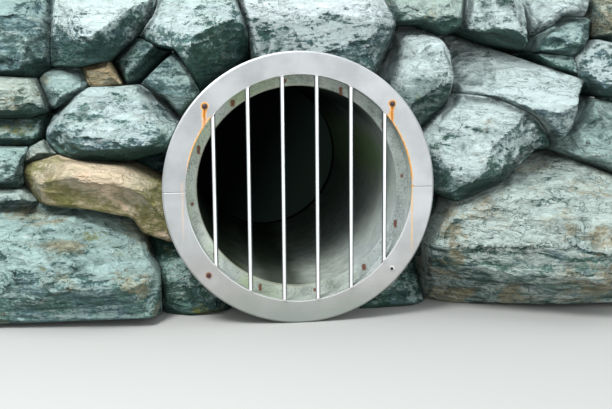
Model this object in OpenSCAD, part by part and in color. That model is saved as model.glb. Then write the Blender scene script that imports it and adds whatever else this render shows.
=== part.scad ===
// Culvert headwall: a dry-stacked boulder wall round the mouth of a precast concrete pipe,
// which carries a bolted ring with upright bars. Millimetres, +Z up, +Y into the bank.
// The level floor is z = 0, and x = 0 is the pipe's axis.

/* [Pipe] */
// Radius of the pipe's bore
bore_r = 450; // [350:5:560]
// Thickness of the pipe's concrete wall
shell_wall = 125; // [100:5:160]
// Length of one pipe unit, from its mouth to its rear shoulder
pipe_len = 1830; // [1500:10:2400]
// Height of the step round the pipe's mouth
mouth_step = 50; // [35:1:60]
// Depth of the step in the pipe's mouth
mouth_depth = 78; // [50:1:110]
// Length of the tongue at the pipe's rear end
tongue_len = 75; // [40:5:110]
// Thickness of the tongue's wall
tongue_wall = 45; // [35:1:60]

/* [Ring grate] */
// Width of the ring plate, from the mouth's edge to its rim
ring_width = 100; // [85:1:140]
// Thickness of the ring plate
ring_t = 12; // [8:1:20]
// Width of the bright chamfer round the ring's rim
rim_chamfer = 7; // [2:1:10]
// Distance between the centres of neighbouring bars
bar_pitch = 150; // [110:5:180]
// Diameter of a bar
bar_d = 20; // [12:1:30]
// Diameter of an anchor bolt
bolt_d = 16; // [10:1:24]
// Width across the flats of a bolt's head
bolt_head_w = 24; // [18:1:36]
// Height of a bolt's head
bolt_head_t = 10; // [6:1:16]
// Angle between the level line and the line from the axis to a bolt
bolt_angle = 42; // [36:1:50]
// How deep a bolt's shank goes, from the plate's face
shank_len = 90; // [60:5:120]

/* [Wall] */
// Half the width of the wall
half_w = 1700; // [1640:10:2200]
// Height of the wall's top joints above the pipe's axis
top_h = 1010; // [980:10:1300]
// Depth of the joint lines at the wall's foot, behind the ring's face
foot_y = 40; // [20:5:100]
// Lean of the face: set back per unit of height
lean = 0.40; // [0.25:0.05:0.45]
// Turn of the face: come forward per unit of width to the right
turn = 0.10; // [0.02:0.02:0.14]
// Plane between the front stones and the backing stones
leaf_y = 700; // [680:10:800]
// Rear face of the wall
wall_back = 1200; // [1150:10:1500]
// How far the biggest foot stone stands out in front of the ring's face
toe_reach = 340; // [250:10:400]
// How far the free sides and tops of the stones are worn back from their fullest point
wear = 55; // [10:5:80]

/* [Hidden] */
$fn = 96;
fit = 0.3;
bar_count = 6;
arc_step = 15;
mouth_r = bore_r + mouth_step;
ring_r = mouth_r + ring_width;
bolt_circle_r = mouth_r + ring_width / 2;
shell_r = bore_r + shell_wall;
rear_y = ring_t + pipe_len + tongue_len;
shift_y = (toe_reach - rear_y) / 2;
ground = -ring_r;
chock_y = ring_t + 180;
end_bevel = 70;
toe_proud = toe_reach + 10;
overshoot = 1.05;
// The stone map is drawn for a ring and a barrel of these radii
map_ring_r = 600;
map_shell_r = 575;
push = max(ring_r - map_ring_r, shell_r - map_shell_r);

greenstone = [0.47, 0.54, 0.52];
pale_stone = [0.66, 0.70, 0.68];
ochre = [0.60, 0.55, 0.42];
dark_stone = [0.30, 0.35, 0.33];
concrete = [0.52, 0.55, 0.52];
steel = [0.78, 0.80, 0.82];
rust = [0.42, 0.24, 0.14];

// A point of the stone map, [x, height above the pipe's axis], moved out from the axis
// when the ring or the barrel is bigger than the map's
function at(x, h) = [x, h] * (1 + push / norm([x, h]));

// Where three or more stones meet
left_top = [-1115, top_h];
ledge_top = [-590, top_h - 30];
white_top = [-230, top_h];
crown_top = [500, top_h - 10];
lichen_top = [940, top_h - 30];
peak_top = [1180, top_h];
corner_top = [1540, top_h - 40];

j_ledge_white = at(-640, 780);
j_ledge_shadow = at(-710, 690);
j_white_shadow = at(-610, 635);
j_white_slate = at(-530, 620);
j_slate_white = at(-460, 510);
j_left_ledge = at(-1130, 540);
j_left_beige = at(-1190, 490);
j_ledge_wedge = at(-985, 540);
j_ledge_tan = at(-845, 565);
j_tan_shadow = at(-780, 450);
j_shadow_slate = at(-705, 455);
j_slate_pyramid = at(-580, 385);
j_tan_wedge = at(-940, 445);
j_wedge_pyramid = at(-1130, 330);
j_beige_slab = at(-1230, 300);
j_slab_pyramid = at(-1165, 200);
j_slab_side = at(-1220, 170);
j_pyramid_ochre = at(-1085, 135);
j_pyramid_low = at(-975, 110);
j_pyramid_end = at(-760, 90);
j_side_ochre = at(-1250, 95);
j_side_thin = at(-1255, -20);
j_thin_ochre = at(-1175, -90);
j_ochre_mid = at(-930, -110);
j_ochre_foot = at(-745, -145);
j_ochre_chock = at(-700, -220);
j_foot_chock = at(-665, -330);
j_foot_low = at(-620, -400);

j_white_crown = at(-170, 710);
j_crown_lichen = at(550, 735);
j_crown_mid = at(545, 640);
j_crown_shoulder = at(450, 530);
j_lichen_mid = at(670, 735);
j_lichen_long = at(770, 670);
j_long_shoulder = at(795, 550);
j_long_round = at(830, 400);
j_shoulder_round = at(710, 300);
j_shoulder_low = at(640, 200);
j_lichen_peak = at(890, 710);
j_peak_side = at(915, 830);
j_peak_long = at(1025, 645);
j_peak_bank = at(1225, 595);
j_peak_upper = at(1250, 670);
j_upper_peak = at(1205, 790);
j_bank_upper = at(1315, 720);
j_bank_top = at(1370, 775);
j_bank_brown = at(1525, 765);
j_brown_edge = at(1520, 655);
j_bank_edge = at(1415, 570);
j_long_chink = at(1300, 520);
j_long_edge = at(1410, 480);
j_edge_veined = at(1480, 385);
j_long_veined = at(1270, 165);
j_long_low = at(1155, 290);
j_round_long = at(990, 380);
j_veined_foot = at(1285, 125);
j_round_foot = at(1155, 130);
j_round_mid = at(945, -20);
j_round_haunch = at(735, -100);
j_haunch_round = at(650, -45);
j_haunch_foot = at(655, -180);
j_haunch_side = at(600, -285);
j_haunch_chock = at(620, -370);

// Where the joints between the outermost stones leave the wall's ends
left_beige_end = [-half_w, 520];
beige_slab_end = [-half_w, 300];
slab_side_end = [-half_w, 180];
side_thin_end = [-half_w, -20];
thin_foot_end = [-half_w, -95];
brown_edge_end = [half_w, 650];
edge_veined_end = [half_w, 350];
veined_foot_end = [half_w, -60];
left_top_end = [-half_w, top_h - 60];
brown_top_end = [half_w, top_h - 80];
left_foot_end = [-half_w, ground];
right_foot_end = [half_w, ground];

// Where the joints between the foot stones meet the ground
left_toe = [at(-620, -600).x, ground];
right_toe = [at(650, -600).x, ground];
left_chock_end = [-bore_r + 160, ground];
right_chock_end = [bore_r - 160, ground];
left_back_joint = at(-1050, -120);
left_back_toe = [left_back_joint.x, ground];
right_back_joint = at(1000, -200);
right_back_toe = [right_back_joint.x, ground];

// A point on the barrel's back: chords between such points touch it with the named clearance
function on_barrel(angle) =
    (shell_r + fit) / cos(arc_step / 2) * [cos(angle), sin(angle)];

function arc_points(first, last) =
    let (step = first < last ? arc_step : -arc_step)
    [for (angle = [first : step : last]) on_barrel(angle)];

// Depth of the joint lines where they show on the wall's leaning face
function joint_y(p) = foot_y + lean * (p.y - ground - 150) - turn * p.x;

// Repeatable unevenness from 0 to 1
function uneven(seed, i) = let (v = sin(seed * 127.1 + i * 311.7) * 437.585) v - floor(v);

function middle(outline) = [for (i = [0, 1]) [for (p = outline) 1] * [for (p = outline) p[i]] / len(outline)];

// A point scaled from a centre and turned about it by a few degrees
function scaled_from(p, centre, share, turned = 0) =
    let (d = (p - centre) * share)
    centre + [d.x * cos(turned) - d.y * sin(turned), d.x * sin(turned) + d.y * cos(turned)];

function in_depth(p, y) = [p.x, y, p.y];

// Free points lie on the wall's ends and top; wear draws them in, in front and behind
function is_free(p) = abs(p.x) >= half_w || p.y >= top_h - 90;

function worn(p, centre, amount, turned, share = overshoot) = is_free(p)
    ? p + amount * (centre - p) / norm(centre - p)
    : scaled_from(p, centre, share, turned);

// The room between a stone's neighbours, from the wall's front to its back
module between_joints(outline)
    rotate([90, 0, 0]) translate([0, 0, -wall_back - 1])
        linear_extrude(wall_back + toe_reach + 2) polygon(outline);

// The rough stone itself: the convex rock that its corner points span
module rough_stone(corners) {
    last = len(corners) - 1;
    hull() polyhedron(corners, [[for (i = [0 : last]) i], [for (i = [0 : last]) last - i]]);
}

// A boulder fills its outline part of the way into the wall, where neighbours bear on each
// other. Its front corners are worn. Its ridges are [x, height, how far proud of the joint lines].
module boulder(outline, ridges, back, colour, seed, rise = 60, nearest = 0, sunk = 0) {
    centre = middle(outline);
    count = len(outline);
    front = [for (i = [0 : count - 1]) let (p = outline[i])
        in_depth(worn(p, centre, wear * (0.6 + 0.4 * uneven(seed, i)), 2, 0.90 + 0.14 * uneven(seed + 5, i)),
            max(joint_y(p) + sunk, nearest))];
    shoulders = [for (i = [0 : count - 1])
        let (p = scaled_from(outline[i], centre, 0.68 + 0.22 * uneven(seed + 1, i)))
        in_depth(p, max(joint_y(p) + sunk, nearest) - rise * (0.4 + 0.7 * uneven(seed + 2, i)))];
    tops = [for (r = ridges) let (p = at(r[0], r[1]))
        in_depth(p, max(-toe_reach, max(joint_y(p) + sunk, nearest) - r[2]))];
    middle_depth = [for (i = [0 : count - 1]) let (p = outline[i])
        in_depth(scaled_from(p, centre, is_free(p) ? 1.015 : overshoot, is_free(p) ? 0 : -1.5),
            max(joint_y(p), nearest) * 0.45 + back * (0.35 + 0.2 * uneven(seed + 3, i)))];
    rear = [for (i = [0 : count - 1]) let (p = outline[i])
        in_depth(worn(p, centre, wear * (0.5 + 0.5 * uneven(seed + 4, i)), 3), back - end_bevel)];
    rear_face = [for (p = outline) in_depth(scaled_from(p, centre, 0.8), back)];
    color(colour) translate([0, shift_y, -ground]) intersection() {
        between_joints(outline);
        rough_stone(concat(front, shoulders, tops, middle_depth, rear, rear_face));
    }
}

// A backing stone between the front leaf and the rear face
module backing(outline, seed) {
    centre = middle(outline);
    count = len(outline);
    faces = [for (y = [leaf_y, wall_back], p = outline) in_depth(scaled_from(p, centre, 0.8), y)];
    sides = [for (y = [leaf_y + end_bevel, wall_back - end_bevel], i = [0 : count - 1])
        in_depth(worn(outline[i], centre, wear * uneven(seed, i), y > leaf_y + end_bevel ? 3 : -3), y)];
    ends = [for (p = outline) in_depth(scaled_from(p, centre, is_free(p) ? 1.015 : overshoot),
        (leaf_y + wall_back) / 2)];
    color(greenstone) translate([0, shift_y, -ground]) intersection() {
        between_joints(outline);
        rough_stone(concat(faces, sides, ends));
    }
}

// Turns what is drawn along +Z, with +Y up, so that it runs along +Y with +Z up
module along_pipe() translate([0, shift_y, -ground]) mirror([0, 1, 0]) rotate([90, 0, 0]) children();

// Two bolts above the level line and two below, mirrored left to right
module at_bolts()
    for (angle = [bolt_angle, 180 - bolt_angle, 180 + bolt_angle, 360 - bolt_angle])
        rotate(angle) translate([bolt_circle_r, 0, 0]) children();

module pipe_barrel()
    color(concrete) along_pipe() difference() {
        union() {
            translate([0, 0, ring_t]) cylinder(r = shell_r, h = pipe_len);
            translate([0, 0, ring_t + pipe_len]) cylinder(r = bore_r + tongue_wall, h = tongue_len);
        }
        translate([0, 0, ring_t - 1]) cylinder(r = bore_r, h = pipe_len + tongue_len + 2);
        translate([0, 0, ring_t - 1]) cylinder(r = mouth_r, h = mouth_depth + 1);
        at_bolts() translate([0, 0, ring_t - 1]) cylinder(d = bolt_d, h = shank_len - ring_t + 1);
    }

// One half of the ring plate; the halves meet on the level line through the pipe's axis
module ring_half(lower)
    color(steel) along_pipe() difference() {
        rotate_extrude() polygon([[mouth_r, 0], [ring_r - rim_chamfer, 0], [ring_r, rim_chamfer],
                                  [ring_r, ring_t], [mouth_r, ring_t]]);
        at_bolts() translate([0, 0, -1]) cylinder(d = bolt_d, h = ring_t + 2);
        translate([-ring_r - 1, lower ? 0 : -ring_r - 1, -1]) cube([2 * ring_r + 2, ring_r + 1, ring_t + 2]);
    }

module ring_upper() ring_half(lower = false);
module ring_lower() ring_half(lower = true);

// An upright bar, its ends coped to the ring's inner edge
module grate_bar(i)
    color(steel) translate([0, shift_y, -ground]) intersection() {
        translate([(i - (bar_count + 1) / 2) * bar_pitch, ring_t / 2, -mouth_r])
            cylinder(d = bar_d, h = 2 * mouth_r);
        translate([0, bar_d, 0]) rotate([90, 0, 0]) cylinder(r = mouth_r, h = 2 * bar_d);
    }

module grate_bar_1() grate_bar(1);
module grate_bar_2() grate_bar(2);
module grate_bar_3() grate_bar(3);
module grate_bar_4() grate_bar(4);
module grate_bar_5() grate_bar(5);
module grate_bar_6() grate_bar(6);

// Hexagon head on the plate, shank through the plate into the concrete
module anchor_bolts()
    color(rust) along_pipe() at_bolts() {
        translate([0, 0, -bolt_head_t]) cylinder(d = bolt_head_w / cos(30), h = bolt_head_t, $fn = 6);
        cylinder(d = bolt_d, h = shank_len);
    }

module crown_stone() boulder(
    concat(arc_points(105, 45), [j_crown_shoulder, j_crown_mid, j_crown_lichen, crown_top,
        white_top, j_white_crown]),
    [[-150, 670, 130], [120, 690, 210], [370, 660, 190], [490, 750, 110], [430, 850, 90],
     [-200, 850, 80], [50, 790, 150]],
    wall_back, pale_stone, seed = 1);

module white_stone() boulder(
    concat([j_white_slate, j_slate_white], arc_points(135, 105), [j_white_crown, white_top,
        ledge_top, j_ledge_white, j_ledge_shadow, j_white_shadow]),
    [[-680, 700, 120], [-460, 680, 210], [-390, 700, 210], [-230, 660, 130], [-430, 550, 90],
     [-590, 810, 90], [-270, 830, 90]],
    wall_back, pale_stone, seed = 2);

module ledge_stone() boulder(
    [j_left_ledge, j_ledge_wedge, j_ledge_tan, j_ledge_shadow, j_ledge_white, ledge_top, left_top],
    [[-1050, 720, 190], [-860, 710, 200], [-670, 790, 120], [-1010, 580, 60], [-1060, 840, 90],
     [-690, 860, 80]],
    wall_back, pale_stone, seed = 3);

module left_top_stone() boulder(
    [left_beige_end, j_left_beige, j_left_ledge, left_top, left_top_end],
    [[-1320, 770, 150], [-1180, 760, 140], [-1220, 580, 90], [-1450, 570, 90], [-1560, 770, 120]],
    wall_back, greenstone, seed = 4, sunk = 30);

module shadow_stone() boulder(
    [j_tan_shadow, j_shadow_slate, j_white_slate, j_white_shadow, j_ledge_shadow, j_ledge_tan],
    [[-710, 640, 40], [-650, 530, 40], [-760, 500, 40]],
    wall_back, dark_stone, seed = 5, rise = 20, sunk = 100);

module slate_stone() boulder(
    concat([j_shadow_slate, j_slate_pyramid], arc_points(150, 135), [j_slate_white, j_white_slate]),
    [[-530, 590, 60], [-480, 480, 90], [-470, 400, 70], [-650, 460, 60]],
    wall_back, greenstone, seed = 6, rise = 30, sunk = 50);

module pyramid_stone() boulder(
    concat([j_slab_pyramid, j_pyramid_ochre, j_pyramid_low, j_pyramid_end], arc_points(165, 150),
        [j_slate_pyramid, j_shadow_slate, j_tan_shadow, j_tan_wedge, j_wedge_pyramid]),
    [[-1050, 200, 180], [-890, 190, 210], [-680, 180, 190], [-590, 270, 140], [-900, 420, 90],
     [-640, 400, 90], [-1060, 320, 110]],
    wall_back, greenstone, seed = 7);

module wedge_stone() boulder(
    [j_wedge_pyramid, j_tan_wedge, j_ledge_wedge, j_left_ledge, j_left_beige],
    [[-1090, 510, 60], [-990, 480, 90], [-1060, 400, 70]],
    wall_back, greenstone, seed = 8, rise = 30, sunk = 50);

module beige_stone() boulder(
    [beige_slab_end, j_beige_slab, j_wedge_pyramid, j_left_beige, left_beige_end],
    [[-1240, 480, 110], [-1180, 380, 100], [-1400, 350, 100], [-1560, 460, 110]],
    wall_back, pale_stone, seed = 9, sunk = 20);

module green_slab() boulder(
    [slab_side_end, j_slab_side, j_slab_pyramid, j_wedge_pyramid, j_beige_slab, beige_slab_end],
    [[-1320, 280, 60], [-1180, 270, 60], [-1230, 200, 50], [-1450, 250, 70]],
    wall_back, dark_stone, seed = 10, rise = 30, sunk = 80);

module left_side_stone() boulder(
    [side_thin_end, j_side_thin, j_side_ochre, j_slab_side, slab_side_end],
    [[-1330, 150, 90], [-1250, 120, 100], [-1290, 20, 90], [-1560, 110, 110]],
    leaf_y, greenstone, seed = 11, sunk = 60);

module ochre_stone() boulder(
    concat([j_side_thin, j_thin_ochre, j_ochre_mid, j_ochre_foot, j_ochre_chock],
        arc_points(210, 180), [j_pyramid_end, j_pyramid_low, j_pyramid_ochre, j_side_ochre]),
    [[-1200, 60, 140], [-1040, 100, 160], [-850, 70, 180], [-680, 0, 190], [-650, -130, 110],
     [-940, -60, 170], [-1160, -50, 130]],
    leaf_y, ochre, seed = 38);

module thin_slab() boulder(
    [thin_foot_end, j_thin_ochre, j_side_thin, side_thin_end],
    [[-1330, -40, 90], [-1220, -50, 80], [-1500, -60, 90]],
    leaf_y, pale_stone, seed = 13, rise = 40, sunk = 50);

module left_foot_stone() boulder(
    [left_foot_end, left_toe, j_foot_low, j_foot_chock, j_ochre_chock, j_ochre_foot, j_ochre_mid,
        j_thin_ochre, thin_foot_end],
    [[-1280, -140, 170], [-1030, -150, 190], [-770, -190, 210], [-700, -330, 170],
     [-730, -410, 190], [-1120, -420, 220], [-1400, -400, 200], [-1580, -150, 150]],
    leaf_y, greenstone, seed = 14);

module left_chock() boulder(
    concat([left_toe, left_chock_end], arc_points(240, 210), [j_ochre_chock, j_foot_chock,
        j_foot_low]),
    [[-560, -380, 50], [-480, -500, 50], [-600, -320, 40]],
    leaf_y, dark_stone, seed = 15, rise = 20, nearest = chock_y);

module lichen_stone() boulder(
    [j_crown_lichen, j_lichen_mid, j_lichen_long, j_lichen_peak, j_peak_side, lichen_top,
        crown_top],
    [[560, 770, 90], [690, 760, 150], [820, 770, 110], [670, 840, 110]],
    wall_back, pale_stone, seed = 16, sunk = 60);

module shoulder_stone() boulder(
    concat([j_crown_shoulder], arc_points(45, 15), [j_shoulder_low, j_shoulder_round, j_long_round,
        j_long_shoulder, j_lichen_long, j_lichen_mid, j_crown_lichen, j_crown_mid]),
    [[600, 690, 130], [710, 590, 190], [740, 480, 190], [510, 490, 150], [620, 320, 90]],
    wall_back, pale_stone, seed = 17);

module long_stone() boulder(
    [j_long_shoulder, j_long_round, j_round_long, j_long_low, j_long_veined, j_edge_veined,
        j_long_edge, j_long_chink, j_peak_bank, j_peak_long, j_lichen_peak, j_lichen_long],
    [[830, 460, 180], [930, 430, 190], [1200, 310, 190], [1390, 400, 150], [1300, 460, 140],
     [1070, 570, 100], [1250, 220, 60]],
    wall_back, pale_stone, seed = 18);

module peak_stone() boulder(
    [j_lichen_peak, j_peak_long, j_peak_bank, j_peak_upper, j_upper_peak, peak_top, lichen_top,
        j_peak_side],
    [[930, 760, 110], [1050, 690, 160], [1150, 700, 110], [1010, 860, 100]],
    wall_back, pale_stone, seed = 19, sunk = 20);

module upper_right_stone() boulder(
    [j_upper_peak, j_peak_upper, j_bank_upper, j_bank_top, j_bank_brown, corner_top, peak_top],
    [[1260, 820, 90], [1440, 820, 90], [1280, 740, 60]],
    wall_back, pale_stone, seed = 20, rise = 40, sunk = 40);

module bank_stone() boulder(
    [j_peak_bank, j_bank_edge, j_brown_edge, j_bank_brown, j_bank_top, j_bank_upper, j_peak_upper],
    [[1260, 660, 90], [1400, 630, 120], [1470, 720, 90], [1360, 750, 70]],
    wall_back, greenstone, seed = 21, rise = 40, sunk = 60);

module brown_stone() boulder(
    [j_brown_edge, brown_edge_end, brown_top_end, corner_top, j_bank_brown],
    [[1560, 800, 100], [1560, 690, 90], [1640, 720, 110]],
    wall_back, ochre, seed = 22, sunk = 40);

module edge_stone() boulder(
    [j_long_edge, j_edge_veined, edge_veined_end, brown_edge_end, j_brown_edge, j_bank_edge],
    [[1440, 570, 80], [1540, 630, 100], [1510, 430, 110], [1620, 520, 120]],
    wall_back, greenstone, seed = 23, sunk = 30);

module veined_stone() boulder(
    [j_long_veined, j_veined_foot, veined_foot_end, edge_veined_end, j_edge_veined],
    [[1310, 210, 90], [1500, 330, 110], [1440, 100, 120], [1350, 120, 100], [1620, 200, 130]],
    wall_back, greenstone, seed = 24, sunk = 70);

module round_stone() boulder(
    concat([j_haunch_round, j_round_haunch, j_round_mid, j_round_foot, j_veined_foot, j_long_veined,
        j_long_low, j_round_long, j_long_round, j_shoulder_round, j_shoulder_low], arc_points(15,
        0)),
    [[660, 180, 120], [720, 290, 160], [950, 320, 220], [1180, 180, 130], [1050, 140, 200],
     [890, 70, 230], [760, 10, 220], [690, -50, 100]],
    wall_back, greenstone, seed = 25);

module right_foot_stone() boulder(
    [right_toe, right_foot_end, veined_foot_end, j_veined_foot, j_round_foot, j_round_mid,
        j_round_haunch, j_haunch_foot, j_haunch_side, j_haunch_chock],
    [[660, -190, 160], [1000, 0, 130], [1300, 70, 110], [640, -280, 260], [900, -290, toe_proud],
     [1300, -270, toe_proud], [1600, -280, 180], [700, -420, 180], [1320, -440, 270],
     [1550, -60, 130]],
    leaf_y, greenstone, seed = 26);

module haunch_stone() boulder(
    concat(arc_points(360, 315), [j_haunch_chock, j_haunch_side, j_haunch_foot, j_round_haunch,
        j_haunch_round]),
    [[620, -150, 40], [570, -290, 40]],
    leaf_y, dark_stone, seed = 27, rise = 20, nearest = chock_y);

module right_chock() boulder(
    concat(arc_points(315, 300), [right_chock_end, right_toe, j_haunch_chock]),
    [[500, -420, 50], [570, -440, 50], [480, -520, 50]],
    leaf_y, dark_stone, seed = 28, rise = 20, nearest = chock_y);

// Small stones wedged into the gaps between the big ones
module chink_stones() {
    boulder([j_tan_wedge, j_tan_shadow, j_ledge_tan, j_ledge_wedge],
        [[-890, 520, 70], [-840, 520, 70], [-810, 480, 50]], wall_back, ochre, seed = 29, rise = 20,
        sunk = 60);
    boulder([j_side_ochre, j_pyramid_ochre, j_slab_pyramid, j_slab_side],
        [[-1170, 150, 50]], leaf_y, pale_stone, seed = 30, rise = 20, sunk = 60);
    boulder([j_peak_bank, j_long_chink, j_long_edge, j_bank_edge],
        [[1330, 550, 20]], wall_back, greenstone, seed = 31, rise = 10, sunk = 60);
}

module left_back_foot() backing([left_foot_end, left_back_toe, left_back_joint, thin_foot_end], seed = 32);

module left_back_stone() backing([thin_foot_end, left_back_joint, j_pyramid_low, j_pyramid_ochre,
    j_slab_pyramid, j_slab_side, slab_side_end], seed = 33);

module left_back_chock() backing(concat([left_back_toe, left_chock_end], arc_points(240, 165),
    [j_pyramid_end, j_pyramid_low, left_back_joint]), seed = 34);

module right_back_foot() backing([right_back_toe, right_foot_end, veined_foot_end, j_veined_foot,
    j_round_foot, right_back_joint], seed = 35);

module right_back_stone() backing(concat(arc_points(360, 330), [right_back_joint, j_round_foot,
    j_round_mid, j_round_haunch, j_haunch_round]), seed = 36);

module right_back_chock() backing(concat(arc_points(330, 300), [right_chock_end, right_back_toe,
    right_back_joint]), seed = 37);

pipe_barrel();
ring_upper();
ring_lower();
grate_bar_1();
grate_bar_2();
grate_bar_3();
grate_bar_4();
grate_bar_5();
grate_bar_6();
anchor_bolts();
crown_stone();
white_stone();
ledge_stone();
left_top_stone();
shadow_stone();
slate_stone();
pyramid_stone();
wedge_stone();
beige_stone();
green_slab();
left_side_stone();
ochre_stone();
thin_slab();
left_foot_stone();
left_chock();
lichen_stone();
shoulder_stone();
long_stone();
peak_stone();
upper_right_stone();
bank_stone();
brown_stone();
edge_stone();
veined_stone();
round_stone();
right_foot_stone();
haunch_stone();
right_chock();
chink_stones();
left_back_foot();
left_back_stone();
left_back_chock();
right_back_foot();
right_back_stone();
right_back_chock();
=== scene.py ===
# %% [markdown]
# # A culvert headwall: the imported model, dressed
# A culvert is a pipe under a bank. A headwall holds its mouth, here a wall of quarried boulders stacked
# dry, and a bolted ring with upright bars closes it. The model that is loaded below has every stone, the
# pipe and the ring at their true size and place. This lesson gives them their look: broken stone,
# weathered concrete, stainless steel and the rust that runs from the bolts.

# %% Load the model and keep its box
import bpy
import contextlib
import functools
import numpy as np
import random
from math import cos, radians, sin, sqrt
from mathutils import Matrix, Vector
from mathutils.bvhtree import BVHTree

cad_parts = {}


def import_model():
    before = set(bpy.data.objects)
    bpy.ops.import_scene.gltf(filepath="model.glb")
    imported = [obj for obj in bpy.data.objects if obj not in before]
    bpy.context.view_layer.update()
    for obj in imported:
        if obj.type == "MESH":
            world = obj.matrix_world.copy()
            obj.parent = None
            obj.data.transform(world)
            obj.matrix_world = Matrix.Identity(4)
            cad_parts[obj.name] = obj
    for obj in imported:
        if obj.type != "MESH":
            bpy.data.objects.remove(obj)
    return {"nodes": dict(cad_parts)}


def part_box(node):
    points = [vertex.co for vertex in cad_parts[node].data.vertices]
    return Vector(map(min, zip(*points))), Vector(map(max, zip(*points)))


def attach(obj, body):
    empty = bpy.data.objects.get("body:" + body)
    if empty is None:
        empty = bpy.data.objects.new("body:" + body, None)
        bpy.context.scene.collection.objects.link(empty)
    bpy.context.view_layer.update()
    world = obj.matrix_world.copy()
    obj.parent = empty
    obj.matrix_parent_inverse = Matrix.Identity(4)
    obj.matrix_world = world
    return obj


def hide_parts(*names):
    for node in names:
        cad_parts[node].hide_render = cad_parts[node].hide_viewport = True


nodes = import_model()["nodes"]
scene = bpy.context.scene
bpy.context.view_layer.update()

# %% [markdown]
# ## Where things are
# Lengths are in metres. Few places are typed in: most are read from the model, so that a piece made
# here sits on the piece that carries it. The ring lies flat against the pipe's mouth, so its box gives
# the mouth's centre, its rim and the plane of its face. The ring's width, the step round the mouth and
# its depth, and the bolts' angle don't show in a box, so they are stated here.

# %% Measure the mouth
ring_width, mouth_step, mouth_depth, bolt_angle = 0.100, 0.050, 0.078, radians(42)
ring_low, ring_high = [Vector(corner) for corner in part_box("ring_upper")]
axis = Vector(((ring_low.x + ring_high.x) / 2, 0, ring_low.z))  # the half ring stands on the axis
face_y = ring_low.y  # front face of the plate
plate = ring_high.y - ring_low.y
rim_r = (ring_high.x - ring_low.x) / 2
mouth_r = rim_r - ring_width
bore_r = mouth_r - mouth_step
print("axis height", round(axis.z, 3), "face", round(face_y, 4), "rim", round(rim_r, 3))

# %% [markdown]
# ## The camera
# The camera stands a little left of the pipe's axis and about a metre above the floor. It looks slightly
# right and down. A camera's directions are the columns of its matrix: right, up and backwards. Yaw and
# pitch give the line of sight, and a small roll turns the picture about it. The focal length is known in
# pixels of the picture's width, and is turned into millimetres of the sensor's.

# %% Place the camera
picture_width, focal_length, sensor_width = 612, 939, 36
yaw, pitch, roll = radians(7.61), radians(-8.16), radians(-0.50)
sight = Vector((sin(yaw) * cos(pitch), cos(yaw) * cos(pitch), sin(pitch)))
level = Vector((cos(yaw), -sin(yaw), 0))
upright = level.cross(sight)
right = level * cos(roll) + upright * sin(roll)
up = upright * cos(roll) - level * sin(roll)

def added(name, data):
    """Puts a new object in the scene."""
    made = bpy.data.objects.new(name, data)
    scene.collection.objects.link(made)
    return made

camera = added("bank_camera", bpy.data.cameras.new("bank_camera"))
camera.data.sensor_width = sensor_width
camera.data.lens = sensor_width * focal_length / picture_width
placed = Matrix((right, up, -sight)).transposed().to_4x4()
placed.translation = Vector((-0.517, face_y - 4.044, axis.z + 0.518))
camera.matrix_world = placed
scene.camera = camera
print("camera at", [round(v, 3) for v in placed.translation])

# %% [markdown]
# ## Shader maths in Python
# Colour that varies is a sum: some noise, a mask, another noise inside the mask. Wiring such a sum by
# hand takes dozens of Math nodes. A small class wraps an output socket and overloads + - * and abs(), so
# that an expression in Python adds the Math nodes itself. A second class adds nodes of other kinds.

# %% The classes for shader expressions
class Wave:
    """An output socket that can be used in Python expressions."""

    def __init__(self, socket):
        self.socket = socket

    def _maths(self, operation, first, second=0):
        made = self.socket.id_data.nodes.new("ShaderNodeMath")
        made.operation = operation
        fill(made.inputs[0], first)
        fill(made.inputs[1], second)
        return Wave(made.outputs[0])

    def __add__(self, other): return self._maths("ADD", self, other)
    def __radd__(self, other): return self._maths("ADD", other, self)
    def __sub__(self, other): return self._maths("SUBTRACT", self, other)
    def __rsub__(self, other): return self._maths("SUBTRACT", other, self)
    def __mul__(self, other): return self._maths("MULTIPLY", self, other)
    def __rmul__(self, other): return self._maths("MULTIPLY", other, self)
    def __abs__(self): return self._maths("ABSOLUTE", self)
    def root(self): return self._maths("SQRT", self)
    def least(self, other): return self._maths("MINIMUM", self, other)
    def most(self, other): return self._maths("MAXIMUM", self, other)

def fill(socket, value):
    """Links a socket to an expression, or sets it to a plain value."""
    if isinstance(value, Wave):
        socket.id_data.links.new(value.socket, socket)
    else:
        socket.default_value = (*value, 1) if socket.type == "RGBA" else value

class Wiring:
    """A node tree that expressions are wired into."""

    def __init__(self, tree):
        self.tree = tree

    def node(self, kind, sockets, out=0, **settings):
        """Adds a node with its settings, fills its sockets and returns one of its outputs."""
        made = self.tree.nodes.new(kind)
        for key, value in settings.items():
            setattr(made, key, value)
        for key, value in sockets.items():
            fill(made.inputs[key], value)
        return Wave(made.outputs[out])

    def parts(self, vector):
        """The x, y and z of a vector."""
        split = self.node("ShaderNodeSeparateXYZ", {0: vector}).socket.node
        return [Wave(output) for output in split.outputs]

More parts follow.
